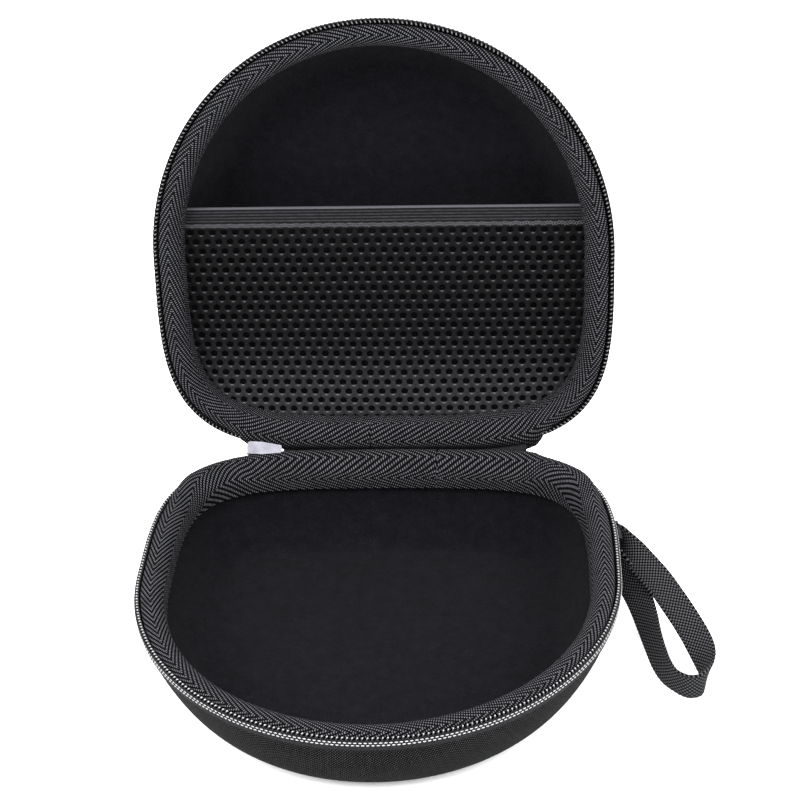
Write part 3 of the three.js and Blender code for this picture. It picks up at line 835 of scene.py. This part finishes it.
def make_binding(half):
    seam = float(distance_at_x(SEAM_X[half]))
    ends = np.array([0.15, 0.3, 0.5, 0.75])
    steps = np.linspace(0, PERIMETER, 660, endpoint=False)
    distance = seam + np.unique(np.concatenate([steps, ends, PERIMETER - ends]))
    shares = np.linspace(0, 1, ROLL_STEPS)

    def section(stops):
        return np.concatenate([side_of(stops, shares, 0), side_of(stops, shares, TAPE_THICK)[::-1]])

    plain = section(BINDING_STOPS)
    sections = np.repeat(plain[None], len(distance), 0)
    if half == "base":
        ridge = near_back(distance)[:, None, None]
        sections = sections * (1 - ridge) + section(RIDGE_STOPS)[None] * ridge
    tight = near_hinge(distance)[:, None, None]
    sections = sections * (1 - tight) + section(HINGE_STOPS[half])[None] * tight
    fall = np.clip(1 - np.concatenate([shares, shares[::-1]]) / 0.45, 0, 1)[None]
    x, lean = outline_point(distance).T[..., None]
    room = smooth(x, -62, -46) if half == "base" else 1  # the base's tape keeps clear of the pull
    sections[..., 0] -= room * tight[..., 0] * np.minimum(lean, 6) * fall
    puff = ripple(distance, 3.0 if half == "lid" else 8.0, 0.22)[:, None]
    pucker = 0.07 * np.cos(2 * math.pi * distance / 4.1)[:, None]
    from_seam = np.minimum(distance - seam, seam + PERIMETER - distance)
    groove = 0.9 * np.exp(-((from_seam / 0.35) ** 2))[:, None]
    sections[..., 1] += groove - puff - pucker * np.exp(-np.arange(2 * ROLL_STEPS)[None] / 6)
    run = lengths(plain[:ROLL_STEPS])
    run = np.concatenate([run, run[::-1]])[None]
    # Painted shade in the crease at the hinge: darkest at the tape's edge by the zip, gone by these
    # distances along its section.
    low, high = (2.0, 5.0) if half == "lid" else (0.8, 3.2)
    crease_shade = 1 - smooth(run[0], low, high)
    if half == "base":
        reach = outline_point(distance)[:, 1:]  # the chevrons lie further in at the back and the front
        run = run + 4.6 * (1 - smooth(reach, 3, 32)) + 2.8 * smooth(reach, 120, 175)
    tape = rim_section(
        f"{half}_binding_herringbone", half, BINDING_LOOK, "binding", f"{half}_binding_tape",
        distance, sections, True, run, tone=near_hinge(distance)[:, None] * crease_shade[None],
    )
    if half == "base":
        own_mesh(tape)


COIL_PITCH = 1.93
COIL_INSET = 1.25
COIL_DEPTH = 2.3
COIL_CORE = 2.25
COIL_REACH = (0.62, 1.35)  # how far a turn goes across the rim and up and down


def chain_ends():
    return distance_at_x(CHAIN_RIGHT), PERIMETER + distance_at_x(CHAIN_LEFT)


def make_coil(half):
    """One continuous nylon filament wound in flattened turns along the rim."""
    start, end = chain_ends()
    turns = (end - start - 1.5) / COIL_PITCH
    per_turn, sides = 18, 7
    angle = np.arange(int(turns * per_turn)) * 2 * math.pi / per_turn

    def flat(value):
        return np.sign(value) * np.abs(value) ** 0.75

    s = start + 0.7 + COIL_PITCH * angle / (2 * math.pi)
    inset = COIL_INSET + COIL_REACH[0] * np.where(np.sin(angle) > 0, np.cos(angle), flat(np.cos(angle)))
    depth = COIL_DEPTH - COIL_REACH[1] * np.sin(angle)
    centre = place(s, inset, depth, half)
    along = unit(np.gradient(centre, axis=0))
    middle = place(s, COIL_INSET, COIL_CORE, half)
    outwards = unit(centre - middle - along * ((centre - middle) * along).sum(1, keepdims=True))
    side = np.cross(along, outwards)
    turn = np.linspace(0, 2 * math.pi, sides, endpoint=False)
    head = smooth(np.sin(angle), 0.95, 1.0)
    radius = (0.3 + 0.02 * head)[:, None, None]
    ring = outwards[:, None] * np.cos(turn)[None, :, None] + side[:, None] * np.sin(turn)[None, :, None]
    shape = Shape()
    # Painted highlight on the top of each turn: strong on the base and weak on the lid, where less light
    # falls on it.
    tone = head * (0.8 if half == "base" else 0.2)
    value = np.repeat(tone[:, None], sides, 1)
    shape.grid(centre[:, None] + radius * ring, cols=True, caps=True, value=value)
    coil = shape.make(f"{half}_coil_filament", NYLON_LOOK)
    settle(coil, half, "zip_coil", f"{half}_zip_coil")


STITCH_ROWS = ((2.4, 0.0), (3.6, 0.5))  # depth, and shift as a share of the pitch
TAPE_OUTER = [(0.22, 1.5), (0.08, 2.3), (0.1, 3.4), (0.36, 4.9), (0.66, 6.4)]


def make_zip_tape(half):
    """The zip's tape, outside the coil and sewn over the fabric's edge."""
    start, end = distance_at_x(HINGE_RIGHT + 2), chain_ends()[1]
    distance = np.linspace(start, end, 560)
    shares = np.linspace(0, 1, 12)
    outer = side_of(TAPE_OUTER, shares, 0)
    inner = outer + [0.28, 0]
    section = np.concatenate([outer, inner[::-1]])
    sections = np.repeat(section[None], len(distance), 0)
    sections[..., 0] += ripple(distance, 4.0, 0.06)[:, None]
    run = np.concatenate([lengths(outer), lengths(outer)[::-1]])
    rim_section(
        f"{half}_zip_tape_woven", half, TAPE_LOOK, "zip_tape", f"{half}_zip_tape",
        distance, sections, False, run,
    )
    shape = Shape()
    for depth, shift in STITCH_ROWS:
        row = np.arange(start + 12, end - 1, COIL_PITCH) + shift * COIL_PITCH
        stitches(shape, half, row, 0.05, depth, length=1.3, width=0.58, proud=0.17)
    # Painted reflection: the zip's black stitches are coloured pale to stand in for their glint.
    rows = shape.make(f"{half}_zip_stitching", GLINTING_THREAD_LOOK)
    settle(rows, half, "zip_tape")


def make_foam(half):
    """The foam wall, swollen into a roll under the binding."""
    distance = np.linspace(0, PERIMETER, 160, endpoint=False)
    outer = wall_point(np.linspace(1, 0.3, 9), 1.2)
    step_in = wall_point(np.array([1 / 6, 0]), 2.5)
    roll = side_of(BINDING_STOPS, np.linspace(0, 1, 12), 1.6)
    inner = wall_point(np.linspace(0.2, 1, 9), 4.7)
    profile = np.concatenate([outer, step_in, roll, inner])
    points = place(distance[:, None], profile[None, :, 0], profile[None, :, 1], half)
    shape = Shape()
    shape.grid(points, rows=True)
    way = 1 if half == "lid" else -1
    zero = np.zeros((len(distance), 2))
    for column, depth in ((0, profile[0, 1]), (len(profile) - 1, profile[-1, 1])):
        middle = to_frame(np.array([0, -CASE_DEPTH / 2, way * depth]), half)
        shape.fan(np.arange(len(distance)) * len(profile) + column, middle, zero, zero[0])
    settle(shape.make(f"{half}_foam", FOAM_LOOK, sharp=60), half, "foam", f"{half}_foam_core")


for half in ("base", "lid"):
    make_fabric(half)
    make_foam(half)
    make_lining(half)
    make_binding(half)
    make_zip_tape(half)
    make_coil(half)


# ---------------------------------------------------------------- fabric hinge


PANEL_STATIONS = 150
PANEL_STEPS = 26
PANEL_STOPS = np.array([(0.62, 7.2), (0.42, 5.4), (0.1, 3.9), (-0.5, 2.3)])
PANEL_THICK = 0.5


def make_hinge():
    """A woven panel outside the hinge line, sewn over both shells' edges, curved from the base to the open
    lid.
    """
    distance = np.linspace(distance_at_x(HINGE_LEFT - 1), distance_at_x(HINGE_RIGHT + 3), PANEL_STATIONS)
    inset, depth = PANEL_STOPS.T[:, None]
    base = place(distance[:, None], inset, depth, "base")
    lid = place(distance[:, None], inset[:, ::-1], depth[:, ::-1], "lid")
    stops = np.concatenate([base, lid], 1)
    shares = np.linspace(0, 1, PANEL_STEPS)
    outer = np.stack([catmull(row, shares) for row in stops])
    across = np.gradient(outer, axis=1)
    along = np.gradient(outer, axis=0)
    face = unit(np.cross(along, across))
    inner = outer + PANEL_THICK * face
    section = np.concatenate([outer, inner[:, ::-1]], 1)
    middle = outer[PANEL_STATIONS // 2]
    run = lengths(middle)
    run = np.concatenate([run, run[::-1], run[:1]])
    uv = np.stack(np.broadcast_arrays(distance[:, None], run[None]), -1)
    shape = Shape()
    shape.grid(section, uv, cols=True, caps=True)
    panel = shape.make("hinge_panel", TAPE_LOOK, sharp=60)
    settle(panel, None, "zip_tape", "hinge_strip")
    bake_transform(panel)
    for half in ("base", "lid"):
        rows = Shape()
        for depth in (5.9, 6.8):
            row = np.arange(distance[0] + 2, distance[-1] - 2, 2.4)
            stitches(rows, half, row, 0.44, depth, length=1.7, width=0.5, proud=0.22)
        settle(rows.make(f"{half}_hinge_stitching", DARK_THREAD_LOOK), half, "zip_tape")


make_hinge()


# ---------------------------------------------------------------- pocket


# Distances from the hinge line
POCKET_TOP = 110
ELASTIC_BOTTOM = 103.2
HEM_BOTTOM = 100.3
MESH_TOP = 100.0
MESH_BOTTOM = 10.9

HOLE_PITCH = 5.0
HOLE_RADIUS = 1.42
ELASTIC_RIBS = 5
HEM_MIDDLE = 101.75
HEM_HALF = 1.85
ZIGZAG_PITCH = 2.5


def pocket_half_width(reach):
    """Half the pocket's width at a distance from the hinge line."""
    distance = np.linspace(1, PERIMETER / 2 - 1, 1200)
    point, normal = rim(distance)
    edge = point + normal * POCKET_INSET
    return np.interp(reach, edge[:, 1], edge[:, 0])


def net_depth(x, reach):
    """Depth of the mesh below the rim plane: slack, and pushed forward low down."""
    across = np.clip(1 - (x / 92) ** 2, 0, 1)
    low = np.exp(-(((reach - 24) / 17) ** 2))
    sag = np.sin(math.pi * np.clip((reach - 10) / 90, 0, 1))
    waves = 0.35 * np.cos(x / 9.5 + 0.6) * np.cos(reach / 14 + 0.4)
    return POCKET_DEPTH + 0.5 - 3.2 * low * across - 0.9 * sag * across + waves * across


def lid_sheet(x, reach, depth):
    """Points of a sheet across the lid, at distances from the hinge line and depths below the rim."""
    return to_frame(np.stack(np.broadcast_arrays(x, -reach, depth), -1), "lid")


def make_netting():
    """Knitted mesh: a honeycomb of rounded strands round open holes."""
    pitch = HOLE_PITCH
    rows = np.arange(MESH_BOTTOM + 1.2, MESH_TOP + 1.5, pitch * math.sqrt(3) / 2)
    cells = []
    for k, reach in enumerate(rows):
        half = float(pocket_half_width(np.clip(reach, 12, 99)))
        across = np.arange(-20, 21) * pitch + (pitch / 2 if k % 2 else 0)
        cells.extend((x, reach) for x in across if abs(x) < half + 1.0)
    cells = np.array(cells)
    corners = 18
    angle = math.pi / 6 + np.arange(corners) * 2 * math.pi / corners
    to_side = (angle - math.pi / 6) % (math.pi / 3) - math.pi / 6
    border = pitch / 2 / np.cos(to_side)
    hole = HOLE_RADIUS + 0.08 * np.cos(2 * angle)
    share = np.array([1, 0.62, 0.25, 0, 0.25, 1])[:, None]
    lift = np.array([0.3, 0.28, 0.18, 0, -0.12, -0.2])
    radius = hole + (border - hole) * share
    x = cells[:, 0, None, None] + radius[None] * np.cos(angle)
    reach = cells[:, 1, None, None] + radius[None] * np.sin(angle)
    reach = np.clip(reach, MESH_BOTTOM - 1.0, MESH_TOP)
    depth = net_depth(x, reach) - lift[None, :, None]
    strand = 0.5 + 0.5 * np.cos(angle * 6)
    # Painted highlight: a light dash on the lower edge of each hole, where the strands catch the light.
    low_edge = np.exp(-(((angle - 1.5 * math.pi) / 0.38) ** 2))
    tone = 0.022 + 0.012 * strand[None, None] * np.ones_like(x)
    bright = np.array([0, 0, 0.4, 1, 0.4, 0])[None, :, None] * low_edge[None, None]
    # Painted light: the low rows, which lean towards the light, are made several times lighter.
    low_rows_lit = np.exp(-(((reach - 14) / 22) ** 2))
    tone = tone * (1 + 6 * low_rows_lit) + bright * (1.1 + 0.35 * low_rows_lit)
    shape = Shape()
    shape.grid(lid_sheet(x, reach, depth), cols=True, value=tone)
    net = shape.make("pocket_netting", NETTING_LOOK)
    joined = bmesh.new()
    joined.from_mesh(net.data)
    bmesh.ops.remove_doubles(joined, verts=joined.verts, dist=0.02 * MM)
    joined.to_mesh(net.data)
    joined.free()
    return settle(net, "lid", "netting", "pocket_mesh")


def make_elastic():
    """Ribbed elastic along the pocket's mouth."""
    rows, columns = 36, 620
    reach = np.linspace(ELASTIC_BOTTOM, POCKET_TOP, rows)[:, None]
    share = np.linspace(-1, 1, columns)[None]
    x = share * (pocket_half_width(reach) + 1.2)
    rib = np.abs(np.sin(math.pi * ELASTIC_RIBS * (reach - ELASTIC_BOTTOM) / (POCKET_TOP - ELASTIC_BOTTOM)))
    column = 0.5 + 0.5 * np.cos(2 * math.pi * x / 1.15)
    lift = 0.5 * rib**0.7 + 0.14 * column * rib + 0.15 * np.cos(x / 13 + 1) * (1 - share**2)
    front = lid_sheet(x, reach, POCKET_DEPTH - 0.1 - lift)
    back = lid_sheet(x, reach, POCKET_DEPTH + 0.75 + 0 * lift)
    points = np.concatenate([front, back[::-1]])
    uv = np.stack(np.broadcast_arrays(x, reach), -1)
    uv = np.concatenate([uv, uv[::-1], uv[:1]])
    # Painted highlight along the band's top edge.
    top = smooth(reach, POCKET_TOP - 0.85, POCKET_TOP - 0.5)
    tone = 0.03 + 0.42 * rib**4 * np.ones_like(x) + 1.9 * top
    shape = Shape()
    shape.grid(points, uv, rows=True, value=np.concatenate([tone, tone[::-1]]))
    band = shape.make("pocket_elastic_band", ELASTIC_LOOK)
    return settle(band, "lid", "elastic", "pocket_elastic")


def tube(shape, path, radius, sides, tone):
    """A round thread along an open path."""
    along = unit(np.gradient(path, axis=0))
    helper = np.where(np.abs(along[:, 2:]) > 0.9, [[1.0, 0, 0]], [[0, 0, 1.0]])
    side = unit(np.cross(along, helper))
    up = np.cross(side, along)
    turn = np.linspace(0, 2 * math.pi, sides, endpoint=False)
    ring = side[:, None] * np.cos(turn)[None, :, None] + up[:, None] * np.sin(turn)[None, :, None]
    value = np.full((len(path), sides), tone)
    return shape.grid(path[:, None] + radius * ring, cols=True, caps=True, value=value)


def make_hem():
    """Overlocked edge that joins the mesh to the elastic: a folded strip under zigzag thread."""
    rows, columns = 9, 240
    reach = np.linspace(HEM_BOTTOM - 0.3, ELASTIC_BOTTOM + 0.3, rows)[:, None]
    share = np.linspace(-1, 1, columns)[None]
    x = share * (pocket_half_width(reach) + 1.0)
    round_ = np.sqrt(np.clip(1 - ((reach - HEM_MIDDLE) / HEM_HALF) ** 2, 0, 1))
    front = lid_sheet(x, reach, POCKET_DEPTH + 0.1 - 0.35 * round_ + 0.12 * np.cos(x / 1.7) * round_)
    back = lid_sheet(x, reach, POCKET_DEPTH + 0.8 + 0 * x)
    shape = Shape()
    strip = np.concatenate([front, back[::-1]])
    shape.grid(strip, rows=True, value=np.full((2 * rows, columns), 0.06))
    half = float(pocket_half_width(101.7))
    x = np.linspace(-half, half, 700)
    jitter = 0.18 * np.cos(x * 1.31) + 0.12 * np.cos(x * 3.7 + 1)
    for shift, radius in ((0.0, 0.2), (0.5, 0.17)):
        phase = (x / ZIGZAG_PITCH + shift) % 1
        zigzag = np.abs(2 * phase - 1)
        depth = POCKET_DEPTH - 0.32 - 0.12 * np.cos(4 * math.pi * phase)
        path = lid_sheet(x, 100.9 + 1.8 * zigzag + jitter, depth)
        tube(shape, path, radius, sides=5, tone=0.8)
    hem = shape.make("pocket_overlock", NETTING_LOOK)
    return settle(hem, "lid", "netting", "pocket_hem")


net = make_netting()
band = make_elastic()
hem = make_hem()
reach = np.linspace(MESH_BOTTOM, MESH_TOP, 60)
pocket_area = float(np.trapz(2 * pocket_half_width(reach), reach)) * MM * MM
2 * float(pocket_half_width(90.0)) * MM


# ---------------------------------------------------------------- metal parts and the strap's anchor


def bevelled(name, node, body, slot, look, width):
    """The CAD node's own shape with rounded edges."""
    mesh = frame["nodes"][node].data.copy()
    mesh.name = name
    mesh.materials.clear()
    mesh.materials.append(look)
    work = bmesh.new()
    work.from_mesh(mesh)
    bmesh.ops.remove_doubles(work, verts=work.verts, dist=0.005 * MM)
    bmesh.ops.dissolve_limit(work, angle_limit=math.radians(2), verts=work.verts, edges=work.edges)
    work.to_mesh(mesh)
    work.free()
    piece = bpy.data.objects.new(name, mesh)
    bpy.context.scene.collection.objects.link(piece)
    bevel = piece.modifiers.new("bevel", "BEVEL")
    bevel.width = width * MM
    bevel.segments = 3
    bevel.limit_method = "ANGLE"
    bevel.angle_limit = math.radians(28)
    mesh.shade_smooth()
    weighted = piece.modifiers.new("normals", "WEIGHTED_NORMAL")
    weighted.keep_sharp = False
    return settle(piece, body, slot, node)


bevelled("slider_shell", "slider_body", "slider", "metal", NICKEL_LOOK, width=0.35)
bevelled("slider_bridge", "slider_crown", "slider", "metal", NICKEL_LOOK, width=0.3)
bevelled("pull_tab", "zip_pull", "pull", "metal", NICKEL_LOOK, width=0.3)
bevelled("end_stop_clip", "zip_end_stop", "base", "metal", NICKEL_LOOK, width=0.4)


ANCHOR_DEPTHS = (5.2, 12.2)
ANCHOR_LAYERS = ((0.25, -0.85), (-0.9, -2.0))  # insets of each layer's inner and outer face


def make_anchor():
    """Two layers of webbing sewn to the side with two rows of stitches."""
    side = float(distance_at_x(HALF_WIDTH - 1))
    start = side + ANCHOR_FROM - outline_point(np.array([side]))[0, 1]
    distance = np.linspace(start, start + ANCHOR_LENGTH, 60)
    shape = Shape()
    low, high = ANCHOR_DEPTHS
    d = np.linspace(low, high, 30)
    yarn = basket(distance[:, None], d[None], 1.05)
    edge = np.minimum(smooth(d, low, low + 0.6), 1 - smooth(d, high - 0.6, high))[None]
    for bottom, top in ANCHOR_LAYERS:
        outer = place(distance[:, None], top + 0.35 * (1 - edge) + 0.2 * (0.5 - yarn), d, "base")
        inner = place(distance[:, None], bottom, d, "base")
        points = np.concatenate([outer, inner[:, ::-1]], 1)
        shape.grid(points, cols=True, caps=True, value=np.concatenate([yarn, yarn[:, ::-1]], 1))
    anchor = shape.make("anchor_webbing", WEBBING_LOOK, sharp=60)
    settle(anchor, "base", "webbing", "strap_anchor")
    rows = Shape()
    along = np.arange(start + 1.4, start + ANCHOR_LENGTH - 0.9, 1.6)
    for depth in (6.3, 11.1):
        stitches(rows, "base", along, -2.12, depth, length=1.2, width=0.45, proud=0.2)
    settle(rows.make("anchor_stitching", DARK_THREAD_LOOK), "base", "webbing")


make_anchor()
